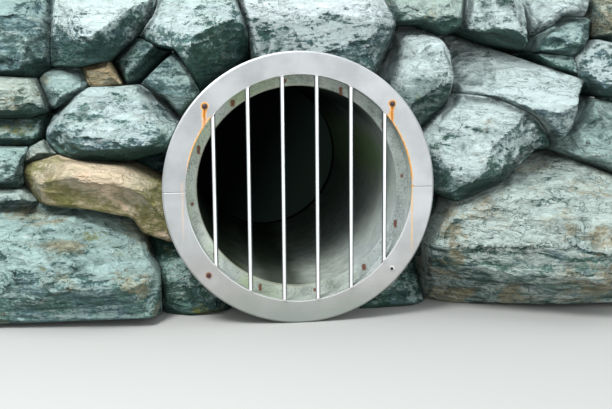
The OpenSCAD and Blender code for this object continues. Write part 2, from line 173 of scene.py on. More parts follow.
class Finish(Wiring):
    """A material, with a method for each kind of node that the looks below need."""

    def __init__(self, name):
        self.material = bpy.data.materials.new(name)
        self.material.use_nodes = True
        super().__init__(self.material.node_tree)
        self.shader = self.tree.nodes["Principled BSDF"]
        self.place = self.node("ShaderNodeTexCoord", {}, "Object")

    def noise(self, where, scale, detail=5.0, roughness=0.55, distortion=0.0):
        return self.node("ShaderNodeTexNoise", {"Vector": where, "Scale": scale, "Detail": detail,
                         "Roughness": roughness, "Distortion": distortion}, "Fac")

    def step(self, value, low, high, start=0.0, end=1.0):
        """A soft step, from start at low to end at high. Low may lie above high."""
        return self.node("ShaderNodeMapRange", {"Value": value, "From Min": low, "From Max": high,
                         "To Min": start, "To Max": end}, interpolation_type="SMOOTHSTEP")

    def mix(self, share, under, over):
        """Lays one colour over another; the numbers are the node's sockets for colours."""
        return self.node("ShaderNodeMix", {0: share, 6: under, 7: over}, 2, data_type="RGBA")

    def lay(self, share, over):
        """Lays a colour over the colour that has been mixed so far."""
        self.colour = self.mix(share, self.colour, over)

    def attribute(self, name):
        """A number that the shaping left on the piece's vertices."""
        return self.node("ShaderNodeAttribute", {}, "Fac", attribute_name=name)

    def turned(self, shift=(0, 0, 0), turn=(0, 0, 0), scale=(1, 1, 1)):
        """The object's own coordinates, shifted, turned and stretched."""
        return self.node("ShaderNodeMapping", {"Vector": self.place, "Location": shift,
                         "Rotation": turn, "Scale": scale})

    def facing(self):
        """The surface's own direction, x, y and z."""
        return self.parts(self.node("ShaderNodeNewGeometry", {}, "Normal"))

    def bump(self, height, depth, strength=1.0):
        return self.node("ShaderNodeBump", {"Height": height, "Distance": depth, "Strength": strength})

    def give(self, **sockets):
        """Fills the shader's sockets; an underscore stands for a space."""
        for key, value in sockets.items():
            fill(self.shader.inputs[key.replace("_", " ")], value)
        return self.material

print("classes ready")

# %% [markdown]
# ## Light
# Outdoors under cloud, light comes from the whole sky, most of it from straight above. The world's light
# therefore runs from bright overhead to dim below the horizon, which lights the tops of the stones and
# lets their undersides fall dark. One soft lamp, high on the left and in front, gives the shapes a side.
# Two weak ones fill the right side and look into the pipe.

# %% Add the world and the lamps
scene.world = bpy.data.worlds.new("overcast")
scene.world.use_nodes = True
sky = Wiring(scene.world.node_tree)
height = sky.parts(sky.node("ShaderNodeTexCoord", {}, "Generated"))[2]
background = sky.tree.nodes["Background"].inputs
fill(background["Color"], (0.86, 0.93, 0.95))
fill(background["Strength"], sky.node("ShaderNodeMapRange", {"Value": height, "From Min": -0.1,
                                      "From Max": 0.9, "To Min": 0.25, "To Max": 1.60}))

def soft_lamp(name, place, target, size, power):
    """A square area lamp that looks at a point."""
    data = bpy.data.lights.new(name, "AREA")
    data.size, data.energy = size, power
    lamp = added(name, data)
    lamp.location = place
    lamp.rotation_euler = (Vector(target) - Vector(place)).to_track_quat("-Z", "Y").to_euler()
    return lamp

soft_lamp("sky_lamp", (-2.2, -3.0, 4.6), (0.1, -0.4, 0.6), 1.6, 320)
soft_lamp("fill_lamp", (3.4, -4.6, 1.6), (0.3, 0.2, 0.7), 2.5, 80)
mouth_lamp = soft_lamp("mouth_lamp", (-0.5, -4.9, 1.0), (0.1, 0.6, 0.5), 0.8, 34)
mouth_lamp.visible_glossy = False  # the steel doesn't mirror it
scene.view_settings.view_transform = "Standard"

# %% [markdown]
# ## A floor to stand on
# The floor, like anything else that isn't part of the headwall, is stage. A plain pale plane is
# enough, wide enough that its edge never shows.

# %% Lay the floor
bpy.ops.object.select_all(action="DESELECT")
bpy.ops.mesh.primitive_plane_add(size=24)
floor = bpy.context.object
floor.name = "studio_floor"
floor.data.materials.append(Finish("studio_floor").give(Base_Color=(0.36, 0.36, 0.35), Roughness=0.9))
print("floor laid")

# %% [markdown]
# ## Helpers for shaping
# An operator acts on everything that is selected, so each piece is first selected alone. Mesh operators
# need Edit mode, and a with block goes in and out of it. A stone starts as a copy of its own node, which
# has the right outline and facets. Its loose triangles are merged, and the stored normals are dropped,
# since the new surface needs its own.

# %% Select, edit, copy and apply
def alone(piece):
    """Selects one piece only and makes it active."""
    bpy.ops.object.select_all(action="DESELECT")
    piece.select_set(True)
    bpy.context.view_layer.objects.active = piece

@contextlib.contextmanager
def edited(piece):
    """Puts one piece, all selected, in Edit mode for the length of a with block."""
    alone(piece)
    bpy.ops.object.mode_set(mode="EDIT")
    bpy.ops.mesh.select_all(action="SELECT")
    yield
    bpy.ops.object.mode_set(mode="OBJECT")

def joined(pieces, name):
    """Makes one piece of several."""
    alone(pieces[0])
    for piece in pieces[1:]:
        piece.select_set(True)
    bpy.ops.object.join()
    bpy.context.object.name = name
    return bpy.context.object

def settled(name):
    """Names the piece that was just added, and moves its place into its mesh."""
    piece = bpy.context.object
    piece.name = name
    piece.data.transform(piece.matrix_world)
    piece.matrix_world = Matrix.Identity(4)
    return piece

def applied(piece, kind, **settings):
    """Adds a modifier, sets it and applies it."""
    alone(piece)
    modifier = piece.modifiers.new(kind.lower(), kind)
    for key, value in settings.items():
        setattr(modifier, key, value)
    bpy.ops.object.modifier_apply(modifier=modifier.name)

def copy_of(node, name):
    """A merged copy of a node's mesh, as a new piece at the origin."""
    piece = added(name, nodes[node].data.copy())
    piece.data.materials.clear()
    alone(piece)
    bpy.ops.mesh.customdata_custom_splitnormals_clear()
    with edited(piece):
        bpy.ops.mesh.remove_doubles(threshold=0.0001)
    return piece

def triangles(piece):
    return sum(len(face.vertices) - 2 for face in piece.data.polygons)

print("helpers ready")

# %% [markdown]
# ## Shaping broken stone
# Quarried rock breaks along flat planes, and then chips and weathers along its edges and its bedding.
# Flat cuts first knock off the corners and sharp edges of the node's copy. Remesh then turns it into an
# even skin of small faces, and Shrinkwrap lays the faces that meet a neighbour back onto the node.
# Displace modifiers carve the open faces: swells, sharp breaks, flat flakes along the bedding, chips and
# grit. All of it goes inwards, so a stone never presses into its neighbour.

# %% The carving tools
wall_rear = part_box("crown_stone")[1][1]
open_top, open_end = 1.40, 1.60  # higher up, and further out to the sides, stones meet the open air
foot_zone, rear_zone = 0.06, 0.09  # carving fades out near the floor, and comes back near the rear
nook_reach = 0.055  # a place with a neighbour nearer than this is a nook
thin_slice = 0.050  # the most that a cut may take off; from a small stone, a tenth of its size

def clouds(name, size, depth=2, kind="HARD_NOISE"):
    made = bpy.data.textures.new(name, "CLOUDS")
    made.noise_scale, made.noise_depth, made.noise_type = size, depth, kind
    return made

swell, breaks = clouds("swell", 0.38, kind="SOFT_NOISE"), clouds("breaks", 0.24, depth=3)
chips, grit = clouds("chips", 0.085), clouds("grit", 0.03)
flakes = bpy.data.textures.new("flakes", "VORONOI")
flakes.noise_scale, flakes.color_mode = 0.32, "POSITION"
coarse = ((swell, 0.016), (breaks, 0.026))  # each texture, and how deep it goes
finer = ((flakes, 0.028), (chips, 0.018), (grit, 0.008))

def sharp_edges(stone):
    """Edges on the open side where two planes meet: both ends, the way out between them, the length."""
    slight_turn, short, low = 0.22, 0.06, 0.15
    ways = {}
    for face in stone.data.polygons:
        for key in face.edge_keys:
            ways.setdefault(key, []).append(face.normal.copy())
    found = []
    for key, normals in ways.items():
        start, end = (stone.data.vertices[number].co.copy() for number in key)
        length = (end - start).length
        if len(normals) == 2 and normals[0].angle(normals[1], 0) > slight_turn and length > short:
            out = (normals[0] + normals[1]).normalized()
            if out.y < -0.3 and max(start.z, end.z) > low:
                found.append((start, end, out, length))
    return found

def slice_off(stone, way, level):
    """Cuts away what lies beyond a plane, and closes the cut with a flat face."""
    with edited(stone):
        bpy.ops.mesh.bisect(plane_co=way * level, plane_no=way, use_fill=True, clear_outer=True)

def knock_off_corners(stone, chance, slight, facets):
    """Takes thin slices off what stands out in slanting directions, but leaves the foremost point."""
    first = [vertex.co.copy() for vertex in stone.data.vertices]
    tip = min(first, key=lambda place: place.y)
    for _ in range(facets):
        slant, round_by = radians(chance.uniform(14, 62)), radians(chance.uniform(0, 360))
        aside = sin(slant)
        way = Vector((aside * cos(round_by), -cos(slant), aside * sin(round_by)))
        level = max(place.dot(way) for place in first) - chance.uniform(0.4, 1.4) * slight
        if level > tip.dot(way):
            slice_off(stone, way, level)

def knock_off_edges(stone, chance, slight, cuts):
    """Slices along sharp edges, a little askew, so that each new facet narrows towards one end."""
    tip = min((vertex.co.copy() for vertex in stone.data.vertices), key=lambda place: place.y)
    for _ in range(cuts):
        edges = sharp_edges(stone)
        if not edges:
            break
        start, end, out, length = chance.choices(edges, weights=[edge[3] for edge in edges])[0]
        deep = chance.uniform(0.3, 1.0) * slight
        askew = Vector([chance.uniform(-1, 1) for _ in range(3)])
        facing = (out + askew * min(0.28, 1.6 * deep / length)).normalized()
        level = (start.lerp(end, chance.uniform(0.2, 0.8)) - out * deep).dot(facing)
        thickness = max(vertex.co.dot(facing) for vertex in stone.data.vertices) - level
        if thickness <= 1.8 * slight and level >= tip.dot(facing):
            slice_off(stone, facing, level)

def evened(values, piece, rounds):
    """Shares one number per vertex with the vertex's neighbours, a few times over."""
    pairs = np.empty(len(piece.data.edges) * 2, dtype=np.int32)
    piece.data.edges.foreach_get("vertices", pairs)
    first, second = pairs.reshape(-1, 2).T
    neighbours = np.bincount(pairs, minlength=len(values))
    for _ in range(rounds):
        total = (np.bincount(first, weights=values[second], minlength=len(values))
                 + np.bincount(second, weights=values[first], minlength=len(values)))
        values = 0.4 * values + 0.6 * total / neighbours
    return values

def crowding(stone, node):
    """How near the next stone is, straight out from each vertex: 1 where they touch, 0 out of reach."""
    corners, faces = [], []
    for other, solid in nodes.items():
        if other != node:
            start = len(corners)
            corners += [vertex.co for vertex in solid.data.vertices]
            faces += [[start + corner for corner in face.vertices] for face in solid.data.polygons]
    others = BVHTree.FromPolygons(corners, faces)
    near = []
    for vertex in stone.data.vertices:
        gap = others.ray_cast(vertex.co + 0.002 * vertex.normal, vertex.normal, nook_reach)[3]
        near.append(0.0 if gap is None else 1 - gap / nook_reach)
    return evened(np.array(near), stone, 3)

def mark_faces(stone):
    """Two vertex groups: open, full on faces in the open air, and closed, on faces against a neighbour."""
    shares = []
    for vertex in stone.data.vertices:
        place, look = vertex.co, vertex.normal
        outward = 1.5 * (-look.y - 0.05)
        if place.z > open_top:
            outward = max(outward, 0.9 * look.z)
        if abs(place.x) > open_end:
            outward = max(outward, 0.8 * abs(look.x))
        if place.y > wall_rear - rear_zone:
            outward = max(outward, 0.6 * look.y)
        shares.append(min(1, max(0, outward)) * min(1, place.z / foot_zone))
    closed = (np.array(shares) < 0.02).astype(float)
    shares = evened(np.array(shares), stone, 8)
    for name, values in (("open", shares), ("closed", closed)):
        group = stone.vertex_groups.new(name=name)
        for number, value in enumerate(values):
            group.add([number], float(value), "REPLACE")
    return shares

def split_open_faces(stone):
    """Splits the faces that look out of the wall, so that they can be carved more finely."""
    alone(stone)
    for face in stone.data.polygons:
        face.select = face.normal.y < -0.12 or (face.normal.z > 0.5 and face.center.z > open_top)
    bpy.ops.object.mode_set(mode="EDIT")
    bpy.ops.mesh.subdivide(number_cuts=1)
    bpy.ops.object.mode_set(mode="OBJECT")

def carve(piece, texture, depth, along=None):
    """Carves a texture into a piece, up to a depth, and along a guide if there is one."""
    applied(piece, "DISPLACE", texture=texture, mid_level=0.0, strength=-depth, vertex_group="open",
            texture_coords="OBJECT" if along else "LOCAL", texture_coords_object=along)

def places(piece, what="co"):
    """Where a piece's vertices are, one row each, or with "normal" which way the skin faces there."""
    flat = np.empty(len(piece.data.vertices) * 3, dtype=np.float32)
    piece.data.vertices.foreach_get(what, flat)
    return flat.reshape(-1, 3)

def directions(piece):
    """Which way the skin faces, evened over some 30 mm. The rows are shorter where it turns sharply."""
    return np.stack([evened(part, piece, 40) for part in places(piece, "normal").T], axis=1)

def bedding_guide(tilt, turn):
    """An empty whose axes set the way that the bedding runs. It is flat, so the flakes are flat too."""
    guide = added("bedding_guide", None)
    guide.rotation_euler = (radians(tilt), 0, radians(turn))
    guide.scale = (1.0, 1.0, 0.36)
    bpy.context.view_layer.update()
    return guide

def put_back(start, carved, outward, reach):
    """Carved along its own normals, a sharp point turns inside out. There, all of it moves back one way."""
    length = np.linalg.norm(outward, axis=1)[:, None]
    sharp = np.clip((0.94 - length) / 0.07, 0, 1)
    return (1 - sharp) * carved + sharp * (start - outward / length * reach[:, None])

def shaped(stone, node, finish, seed, tilt, turn, grain, rough, ledges, cuts):
    """Carves a piece. Two attributes stay for its finish: how deep each place is carved, and the nooks, where
    the finish paints shade.
    """
    room = places(stone)
    chance = random.Random(seed)
    slight = min(thin_slice, 0.10 * min(stone.dimensions.x, stone.dimensions.z))
    knock_off_corners(stone, chance, slight, cuts // 3)
    knock_off_edges(stone, chance, slight, cuts)
    applied(stone, "REMESH", mode="VOXEL", voxel_size=grain, use_smooth_shade=True)
    applied(stone, "SMOOTH", factor=0.5, iterations=2)
    split_open_faces(stone)
    shares, nooks = mark_faces(stone), crowding(stone, node)
    applied(stone, "SHRINKWRAP", target=nodes[node], vertex_group="closed",
            wrap_method="NEAREST_SURFACEPOINT")

    guide, outward = bedding_guide(tilt, turn), directions(stone)
    stages, reach, fine_depth = [places(stone)], 0, 0
    for texture, depth in coarse + finer:
        deep = depth * rough * (ledges if texture == flakes else 1)
        carve(stone, texture, deep, guide if texture == flakes else None)
        stages.append(places(stone))
        reach = reach + np.linalg.norm(stages[-1] - stages[-2], axis=1)
        fine_depth += deep if (texture, depth) in finer else 0
    bpy.data.objects.remove(guide)
    finely = np.linalg.norm(stages[-1] - stages[len(coarse)], axis=1)
    for name, values in (("hollow", finely / (fine_depth * np.maximum(shares, 0.05))), ("nook_shade", nooks)):
        made = stone.data.attributes.new(name, "FLOAT", "POINT")
        made.data.foreach_set("value", values.astype(np.float32))

    kept = np.clip(put_back(stages[0], stages[-1], outward, reach), room.min(axis=0), room.max(axis=0))
    stone.data.vertices.foreach_set("co", kept.astype(np.float32).ravel())
    stone.data.update()
    stone.data.materials.append(finish)

def broken_stone(node, finish, **shape):
    """A carved stone that stands for a node."""
    stone = copy_of(node, node + "_carved")
    shaped(stone, node, finish, **shape)
    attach(stone, "root")
    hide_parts(node)
    return stone

print("carving tools ready")

# %% [markdown]
# ## The finish of the stones
# Fresh faces of this rock are grey-green. Where rain and salt reach it, a pale crust has grown over it
# in specks and patches, most of all on faces that look up, which is partly painted light on the tops.
# Faces that look down are painted darker: partly a wet, dark green film and partly painted shade. The
# lower part of some stones is painted darker as painted shade too, and so are the hollows of the carving
# and the nooks against a neighbour, while high spots get a little more crust as painted light. Thin pale
# veins and dark cracks cross both. One recipe makes all of it, and each stone gets its own colours, its
# own share of crust and its own place in the noise.

# %% The stone recipe
# The dark green of the wet film; scaled, it is also the colour of painted shade in hollows and nooks.
FILM_AND_SHADE = (0.012, 0.043, 0.034)

def scaled(colour, by):
    return tuple(by * part for part in colour)

def stone_finish(name, fresh, other, crust, share, seed, tilt=(0.5, 0.2), film=FILM_AND_SHADE, moss=0.0, tan=0.0,
                 veins=0.5, damp=1.0, tide=None, fair=0.0, bare=None, layers=0.45):
    """fresh, other and crust are colours; share is how much crust there is, from 0 to 1. tilt is the lie of
    the bedding, fair makes all of it lighter, tide is the height and strength of a dark foot that is
    painted shade, bare is a place without moss (x, z and radius), and layers says how strongly the dark
    layers of the rock show."""
    f, lie = Finish(name), (*tilt, 0.3)
    bed = f.turned((seed * 3.1, seed * 1.7, seed * 0.9), lie, (1, 1, 2.2))
    even = f.turned((seed * 2.3, seed * 0.7, seed * 1.9))
    nz = f.facing()[2]
    broad = f.noise(bed, 2.4, 4, 0.6, 0.8)
    patch = f.noise(bed, 7.5, 7, 0.64, 0.6)
    mottle = f.noise(bed, 21, 7, 0.66, 0.5)
    speck = f.noise(even, 75, 5, 0.72)
    dust = f.noise(even, 230, 3, 0.8)
    crest = abs(f.noise(bed, 11, 6, 0.6, 0.7) - 0.5)

    hollow = f.attribute("hollow") + (speck - 0.5) * 0.3
    # Painted shade and light: where the fine carving went deep the colour is darker, and where it stayed high
    # a little more crust grows.
    pit_shade, crown = f.step(hollow, 0.44, 0.74), f.step(hollow, 0.40, 0.18)
    low = f.step(patch * 0.42 + mottle * 0.36 + speck * 0.22 - pit_shade * 0.07, 0.42 - fair, 0.54 - fair)
    hue = f.mix(f.step(broad, 0.36, 0.60), fresh, other)
    cool = f.step(f.noise(even, 9.0, 5, 0.65, 0.8), 0.50, 0.62)
    hue = f.mix(cool * 0.55, hue, (0.145, 0.215, 0.290) if fresh[2] > fresh[0] else (0.45, 0.37, 0.20))
    dark = f.mix(0.86, hue, scaled(film, 1.2))
    thin_bed = f.turned((seed, seed * 2.9, seed * 1.3), lie, (1, 1, 6))
    layer = f.noise(thin_bed, 5.5, 6, 0.62, 0.4)
    layered = f.step(layer + (mottle - 0.5) * 0.25, 0.515, 0.60) * layers
    f.colour = f.mix(low * (1 - layered), dark, hue)
    glint = tuple(part + 0.02 for part in scaled(fresh, 1.9))
    f.lay(f.step(speck * 0.6 + dust * 0.4, 0.50, 0.66) * 0.45, glint)

    # Faces that look up get more crust: partly real, partly painted light on the tops.
    up_crust_and_light = f.step(nz, -0.35, 0.80)
    # Faces that look down are darker: partly a wet, dark green film, partly painted shade. Each stone sets
    # its strength.
    under = f.step(nz + (mottle - 0.5) * 0.9, -0.10, -0.72) * damp
    x, _, z = f.parts(f.place)
    # Painted shade: below a given height, the stone is darker.
    if tide is not None:
        line, depth = tide
        wash = z + (patch - 0.5) * 0.22 + (speck - 0.5) * 0.06
        under = under.most(f.step(wash, line + 0.035, line - 0.035) * depth)
    grown = patch * 0.34 + mottle * 0.36 + speck * 0.30 + up_crust_and_light * 0.10 + crown * 0.05
    grown = grown - pit_shade * 0.05 - under * 0.05 - layered * 0.07
    edge = 0.615 - 0.10 * share - 0.5 * fair
    crusted = f.step(grown, edge - 0.028, edge + 0.030) * (0.55 + 0.45 * share)
    f.lay(crusted * f.step(dust, 0.25, 0.55, 0.7, 1.0), crust)

    if tan:
        edge = 0.84 - 0.3 * tan
        stained = f.step(f.noise(even, 3.2, 5, 0.6, 0.5) + mottle * 0.35, edge, edge + 0.12)
        f.lay(stained * f.step(speck, 0.35, 0.6, 0.45, 0.85), (0.33, 0.27, 0.15))

    band = abs(f.noise(bed, 3.4, 4, 0.55, 1.2) - 0.5)
    vein = f.step(band, 0.018, 0.004) * f.step(patch, 0.45, 0.60)
    f.lay(vein * veins, (0.62, 0.68, 0.64))

    crack = f.step(crest, 0.022, 0.003) * f.step(broad + mottle * 0.3, 0.58, 0.72)
    f.lay(crack * 0.75, film)
    # Painted shade in the hollows of the carving.
    f.lay(pit_shade * 0.78, scaled(film, 1.2))

    # The dark of the undersides and the foot is laid on here: partly wet film, partly painted shade.
    wet = (under * 0.88).least(1)
    f.lay(wet, f.mix(f.step(speck, 0.42, 0.68), film, scaled(film, 2.6)))
    if moss:
        edge = 0.78 - 0.25 * moss
        green = f.step(f.noise(even, 4.5, 6, 0.7) + f.noise(even, 40, 3) * 0.2, edge, edge + 0.12)
        if bare is not None:
            bare_x, bare_z, bare_r = bare
            aside, above = x - bare_x, z - bare_z
            away = (aside * aside + above * above * 3).root() + (mottle - 0.5) * 0.15
            green = green * f.step(away, bare_r * 0.7, bare_r * 1.3)
        f.lay(green * 0.75, (0.185, 0.190, 0.040))

    # Painted shade in nooks, where a neighbouring stone lies near.
    nook_shade = f.step(f.attribute("nook_shade") + (patch - 0.5) * 0.5 + (speck - 0.5) * 0.3, 0.42, 0.86)
    f.lay(nook_shade * 0.66, scaled(film, 0.6))

    relief = patch * 0.050 + mottle * 0.030 + speck * 0.0080 + dust * 0.0014 + crest.least(0.12) * 0.08
    relief = relief - layered * 0.016
    return f.give(Base_Color=f.colour, Roughness=f.step(speck, 0.3, 0.7, 0.70, 0.95) - wet * 0.25,
                  Specular_IOR_Level=0.35, Normal=f.bump(relief, 1.0))

GREEN, BLUE, GREY = (0.140, 0.268, 0.222), (0.145, 0.255, 0.278), (0.220, 0.305, 0.284)
CRUST, BRIGHT = (0.40, 0.545, 0.515), (0.62, 0.735, 0.725)
PALE, SNOWY = (0.43, 0.53, 0.485), (0.66, 0.74, 0.75)
print("stone recipe ready")

# %% [markdown]
# ## Stainless steel that has stood in salt air
# The ring and the bars are stainless steel. The plate was rolled, so it has a faint grain and a soft,
# cloudy shine rather than a mirror's. Its lower part is stained by mud, and a pale line along the inner edge
# of its lower half is a painted highlight. The flanks of the bars are painted dark as a painted reflection.
# The bolts are plainer steel, and their rust has run down the plate, turned along the mouth's edge, and
# dripped on below.

# %% Masks on the face of the plate
def from_axis(f):
    """x, y, the height above the pipe's axis, and the distance from it."""
    x, y, z = f.parts(f.place)
    h = z - axis.z
    return x, y, h, (x * x + h * h).root()

def run_of_rust(f, x, h, at, top, foot, width):
    """A streak that runs straight down from one height to another."""
    wander = f.noise(f.turned(scale=(1, 1, 9)), 9, 3) * (2 * width) - width
    return (f.step(abs(x - at + wander * 0.5), width, width * 0.35)
            * f.step(h, foot, foot + 0.4 * (top - foot)) * f.step(h, top + 0.006, top))

def round_spot(f, x, h, centre, inner, outer):
    aside, above = x - centre[0], h - centre[1]
    return f.step((aside * aside + above * above).root(), outer, inner)

def any_of(masks):
    """The strongest of several masks at each place."""
    return functools.reduce(Wave.most, masks)

bolt_circle = (rim_r + mouth_r) / 2
bolt_x, bolt_h = bolt_circle * cos(bolt_angle), bolt_circle * sin(bolt_angle)
rusty_bolts = [(-bolt_x, bolt_h), (bolt_x, bolt_h), (-bolt_x, -bolt_h)]
print("bolts at", round(bolt_x, 3), round(bolt_h, 3))

# %% The plate's finish
def plate_finish():
    f = Finish("stainless_plate")
    x, _, h, r = from_axis(f)
    cloud = f.noise(f.place, 5, 4, 0.55)
    grain = f.noise(f.turned(scale=(1, 1, 40)), 10, 4, 0.7)
    scratch = f.noise(f.turned(turn=(0, 0.9, 0), scale=(60, 1, 2)), 6, 3, 0.6)
    fine = f.noise(f.place, 260, 2, 0.8)
    steel = f.mix(f.step(cloud + grain * 0.25, 0.42, 0.80), (0.45, 0.46, 0.47), (0.585, 0.595, 0.61))
    mud = f.step(h + cloud * 0.25, 0.02, -0.42) * f.step(grain + fine * 0.3, 0.30, 0.75, 0.45, 1.0)
    f.colour = f.mix(mud * 0.70, steel, (0.26, 0.235, 0.20))
    silt = f.step(h + cloud * 0.14 + grain * 0.06, -0.28, -0.50)
    f.lay(silt * 0.60, (0.19, 0.245, 0.22))

    # Painted highlight: a pale line along the inner edge of the plate's lower half.
    inner_edge_highlight = f.step(r, mouth_r + 0.0045, mouth_r + 0.0018) * f.step(h, -0.06, -0.18)
    f.lay(inner_edge_highlight * 0.9, (0.88, 0.89, 0.90))
    mud = mud * (1 - inner_edge_highlight)
    seam = f.step(abs(h), 0.0035, 0.0012)
    near_seam = f.step(abs(h + fine * 0.01), 0.05, 0.01) * f.step(cloud, 0.4, 0.6)
    f.lay(seam * 0.45 + near_seam * 0.12, (0.24, 0.235, 0.23))

    streak, spot = (functools.partial(mark, f, x, h) for mark in (run_of_rust, round_spot))
    edge = f.step(r, mouth_r + 0.008, mouth_r + 0.003)
    orange = any_of([streak(-bolt_x - 0.003, bolt_h, 0.235, 0.015),
                     streak(bolt_x - 0.002, bolt_h, 0.235, 0.014),
                     *(spot(centre, 0.015, 0.021) for centre in rusty_bolts[:2]),
                     edge * f.step(x, -0.382, -0.386) * f.step(h, 0.06, 0.16),
                     edge * f.step(x, 0.382, 0.386) * f.step(h, 0.00, 0.05),
                     spot((0.502, 0.004), 0.004, 0.008)])
    deep = any_of([streak(-bolt_x - 0.002, bolt_h, 0.260, 0.007),
                   streak(bolt_x - 0.001, bolt_h, 0.260, 0.007)])
    drip = streak(0.500, 0.004, -0.330, 0.006)
    faint = streak(-0.513, 0.040, -0.250, 0.005)
    patchy = f.step(f.noise(f.place, 60, 4, 0.7), 0.30, 0.62, 0.55, 1.0)
    fresh_rust = f.mix(f.step(fine, 0.45, 0.65), (0.70, 0.330, 0.012), (0.46, 0.150, 0.004))
    old_rust = f.mix(f.step(fine, 0.4, 0.6), (0.38, 0.095, 0.002), (0.20, 0.045, 0.003))
    f.lay(drip * patchy * 0.75, (0.62, 0.36, 0.09))
    f.lay(faint * patchy * 0.55, (0.50, 0.30, 0.14))
    f.lay(orange * patchy, fresh_rust)
    f.lay(deep * patchy * 0.85, old_rust)
    halo = spot(rusty_bolts[2], 0.012, 0.020)
    f.lay(halo * patchy * 0.8, (0.30, 0.13, 0.06))
    rusted = (orange + drip * 0.7 + faint * 0.5 + halo * 0.8).least(1)

    return f.give(Base_Color=f.colour, Metallic=0.85 - rusted * 0.80 - mud * 0.45,
                  Roughness=(0.42 + cloud * 0.12 + mud * 0.25 + rusted * 0.3).least(0.95),
                  Normal=f.bump(grain * 0.35 + scratch * 0.3 + fine * 0.2 - seam * 1.6, 0.0016, 0.5))

def bar_finish():
    f = Finish("stainless_bar")
    cloud = f.noise(f.turned(scale=(1, 1, 0.4)), 9, 4, 0.6)
    fine = f.noise(f.turned(scale=(1, 1, 14)), 120, 3, 0.7)
    h = from_axis(f)[2]
    mud = f.step(h + cloud * 0.2, -0.10, -0.42)
    f.colour = f.mix(f.step(cloud, 0.35, 0.7), (0.88, 0.89, 0.90), (0.95, 0.955, 0.96))
    # Painted reflection: each bar's flanks are painted dark blue-grey, as the dark they would mirror.
    dark_flank_reflection = f.step(abs(f.facing()[0] + 0.12), 0.40, 0.78)
    f.lay(dark_flank_reflection * 0.92, (0.045, 0.070, 0.090))
    f.lay(mud * f.step(fine, 0.3, 0.6) * 0.45, (0.30, 0.27, 0.23))
    return f.give(Base_Color=f.colour, Metallic=0.60 + dark_flank_reflection * 0.30 - mud * 0.2,
                  Roughness=0.30 + cloud * 0.06 + mud * 0.3, Normal=f.bump(fine, 0.0002, 0.15))

def dress(node, finish):
    """Gives a node its finish in place of the plain one that it came with."""
    nodes[node].data.materials.clear()
    nodes[node].data.materials.append(finish)

plate_steel, bar_steel = plate_finish(), bar_finish()
for node in ("ring_upper", "ring_lower"):
    dress(node, plate_steel)
bars = sorted(node for node in nodes if node.startswith("grate_bar"))
for node in bars:
    dress(node, bar_steel)
print("steel dressed, bars:", len(bars))

# %% [markdown]
# ## The concrete pipe
# The pipe is spun concrete. The step round its mouth is rough, blue-grey and stained green where it stays
# wet, with a rust spot where each steel wire of the cage comes near the surface: twelve, nearly evenly
# spaced. The left part of the step is painted lighter, as painted light. Inside, the wall is smoother. It
# darkens with depth, partly green slime where it is always wet and partly painted shade. Its upper left
# is painted near black as painted shade, and a band on the right is painted lighter as painted light.

# %% The concrete's finish
wires, first_wire, wire_spacing, wire_cover = 12, 5, 30.4, 0.024  # a count, two angles, a depth
pipe_high = Vector(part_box("pipe_barrel")[1])

